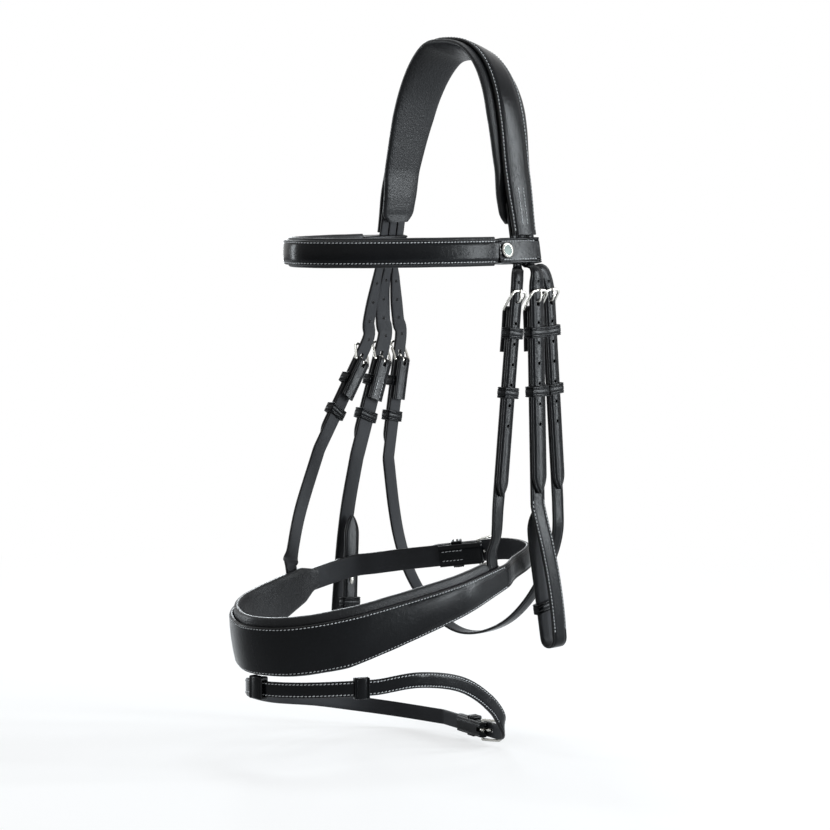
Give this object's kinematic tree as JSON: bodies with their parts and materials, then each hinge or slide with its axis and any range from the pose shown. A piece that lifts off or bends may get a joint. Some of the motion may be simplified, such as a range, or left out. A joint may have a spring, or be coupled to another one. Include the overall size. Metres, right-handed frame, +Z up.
{
  "type": "horse show bridle",
  "caption": "Padded leather bridle hanging from its poll strap, with browband, cheekpieces, wide noseband, flash strap and throatlatch, buckled at both ends.",
  "frame": {"origin": "where the horse's poll carries the crown, in the middle of the underside of its padding", "axes": "+Z up along the hanging bridle, -Y towards the horse's nose, +X to the horse's near (left) side"},
  "size_m": [0.1895, 0.2804, 0.575],
  "materials": {
    "leather": "glossy black bridle leather",
    "soft": "soft black leather over padding",
    "steel": "polished"
  },
  "bodies": {
    "crown": {"crown_leather": "leather", "crown_padding": "soft"},
    "browband": {"browband_leather": "leather", "browband_padding": "soft", "browband_near_loop": "leather", "browband_far_loop": "leather", "browband_near_button": "steel", "browband_far_button": "steel"},
    "near_cheek": {"near_cheek_billet": "leather", "near_cheek_buckle": "steel", "near_cheek_keeper": "leather", "near_cheek_strap": "leather", "near_bit_keeper": "leather"},
    "far_cheek": {"far_cheek_billet": "leather", "far_cheek_buckle": "steel", "far_cheek_keeper": "leather", "far_cheek_strap": "leather", "far_bit_keeper": "leather"},
    "noseband": {"noseband_leather": "leather", "noseband_padding": "soft", "noseband_buckle": "steel", "noseband_keeper": "leather", "flash_loop": "leather", "near_hanger_billet": "leather", "near_hanger_buckle": "steel", "near_hanger_keeper": "leather", "near_hanger_strap": "leather", "far_hanger_billet": "leather", "far_hanger_buckle": "steel", "far_hanger_keeper": "leather", "far_hanger_strap": "leather"},
    "throatlatch": {"throat_strap": "leather", "near_throat_billet": "leather", "near_throat_buckle": "steel", "near_throat_keeper": "leather", "far_throat_billet": "leather", "far_throat_buckle": "steel", "far_throat_keeper": "leather"},
    "flash": {"flash_strap": "leather", "flash_buckle": "steel", "flash_keeper": "leather"},
    "near_cheek_tongue": {"near_cheek_tongue": "steel"},
    "near_cheek_runner": {"near_cheek_runner": "leather"},
    "near_hanger_tongue": {"near_hanger_tongue": "steel"},
    "near_hanger_runner": {"near_hanger_runner": "leather"},
    "near_throat_tongue": {"near_throat_tongue": "steel"},
    "near_throat_runner": {"near_throat_runner": "leather"},
    "far_cheek_tongue": {"far_cheek_tongue": "steel"},
    "far_cheek_runner": {"far_cheek_runner": "leather"},
    "far_hanger_tongue": {"far_hanger_tongue": "steel"},
    "far_hanger_runner": {"far_hanger_runner": "leather"},
    "far_throat_tongue": {"far_throat_tongue": "steel"},
    "far_throat_runner": {"far_throat_runner": "leather"},
    "noseband_tongue": {"noseband_tongue": "steel"},
    "flash_tongue": {"flash_tongue": "steel"},
    "flash_runner": {"flash_runner": "leather"}
  },
  "joints": [
    {"name": "browband_swing", "type": "hinge", "parent": "crown", "child": "browband", "pos_m": [0, 0, -0.15], "axis": [1, 0, 0], "range_deg": [-8, 0]},
    {"name": "near_cheek_swing", "type": "hinge", "parent": "crown", "child": "near_cheek", "pos_m": [0.07975, 0, -0.17413], "axis": [0, -1, 0], "range_deg": [0, 25], "deforming": ["near_cheek_billet"]},
    {"name": "far_cheek_swing", "type": "hinge", "parent": "crown", "child": "far_cheek", "pos_m": [-0.07975, 0, -0.17413], "axis": [0, 1, 0], "range_deg": [0, 25], "deforming": ["far_cheek_billet"]},
    {"name": "noseband_swing", "type": "hinge", "parent": "crown", "child": "noseband", "pos_m": [0, -0.01205, -0.17413], "axis": [1, 0, 0], "range_deg": [-25, 0], "deforming": ["near_hanger_billet", "far_hanger_billet"]},
    {"name": "throat_swing", "type": "hinge", "parent": "crown", "child": "throatlatch", "pos_m": [0, 0.01205, -0.17413], "axis": [1, 0, 0], "range_deg": [0, 20], "deforming": ["near_throat_billet", "far_throat_billet"]},
    {"name": "flash_swing", "type": "hinge", "parent": "noseband", "child": "flash", "pos_m": [0.004, -0.223, -0.50525], "axis": [1, 0, 0], "range_deg": [0, 7]},
    {"name": "near_cheek_tongue_lift", "type": "hinge", "parent": "near_cheek", "child": "near_cheek_tongue", "pos_m": [0.0832, 0.004, -0.20805], "axis": [0, 0.9998, 0.02], "range_deg": [0, 6]},
    {"name": "near_hanger_tongue_lift", "type": "hinge", "parent": "noseband", "child": "near_hanger_tongue", "pos_m": [0.0827, -0.021, -0.20797], "axis": [0, 0.995, -0.0995], "range_deg": [0, 6]},
    {"name": "near_throat_tongue_lift", "type": "hinge", "parent": "throatlatch", "child": "near_throat_tongue", "pos_m": [0.0767, 0.027, -0.208], "axis": [0, 0.9964, 0.0847], "range_deg": [0, 6]},
    {"name": "far_cheek_tongue_lift", "type": "hinge", "parent": "far_cheek", "child": "far_cheek_tongue", "pos_m": [-0.0847, -0.001, -0.258], "axis": [0, -0.9404, 0.3401], "range_deg": [0, 6]},
    {"name": "far_hanger_tongue_lift", "type": "hinge", "parent": "noseband", "child": "far_hanger_tongue", "pos_m": [-0.0847, -0.026, -0.258], "axis": [0, -0.829, 0.5593], "range_deg": [0, 6]},
    {"name": "far_throat_tongue_lift", "type": "hinge", "parent": "throatlatch", "child": "far_throat_tongue", "pos_m": [-0.0847, 0.022, -0.258], "axis": [0, -0.9854, 0.1701], "range_deg": [0, 6]},
    {"name": "noseband_tongue_lift", "type": "hinge", "parent": "noseband", "child": "noseband_tongue", "pos_m": [0.00553, 0.0241, -0.41607], "axis": [0, -0.165, 0.9863], "range_deg": [0, 6]},
    {"name": "flash_tongue_lift", "type": "hinge", "parent": "flash", "child": "flash_tongue", "pos_m": [0.05683, -0.02517, -0.553], "axis": [0, 0, 1], "range_deg": [0, 6]},
    {"name": "near_cheek_runner_slide", "type": "slide", "parent": "near_cheek", "child": "near_cheek_runner", "axis": [0.01, 0.02, -0.9997], "range_m": [-0.025, 0.05]},
    {"name": "near_hanger_runner_slide", "type": "slide", "parent": "noseband", "child": "near_hanger_runner", "axis": [-0.005, -0.0995, -0.995], "range_m": [-0.025, 0.05]},
    {"name": "near_throat_runner_slide", "type": "slide", "parent": "throatlatch", "child": "near_throat_runner", "axis": [0, 0.0847, -0.9964], "range_m": [-0.025, 0.05]},
    {"name": "far_cheek_runner_slide", "type": "slide", "parent": "far_cheek", "child": "far_cheek_runner", "axis": [0, -0.3401, -0.9404], "range_m": [-0.006, 0.01]},
    {"name": "far_hanger_runner_slide", "type": "slide", "parent": "noseband", "child": "far_hanger_runner", "axis": [0, -0.5593, -0.829], "range_m": [-0.006, 0.01]},
    {"name": "far_throat_runner_slide", "type": "slide", "parent": "throatlatch", "child": "far_throat_runner", "axis": [0, -0.1701, -0.9854], "range_m": [-0.006, 0.01]},
    {"name": "flash_runner_slide", "type": "slide", "parent": "flash", "child": "flash_runner", "axis": [-0.4472, -0.8944, 0], "range_m": [-0.003, 0.003]}
  ]
}
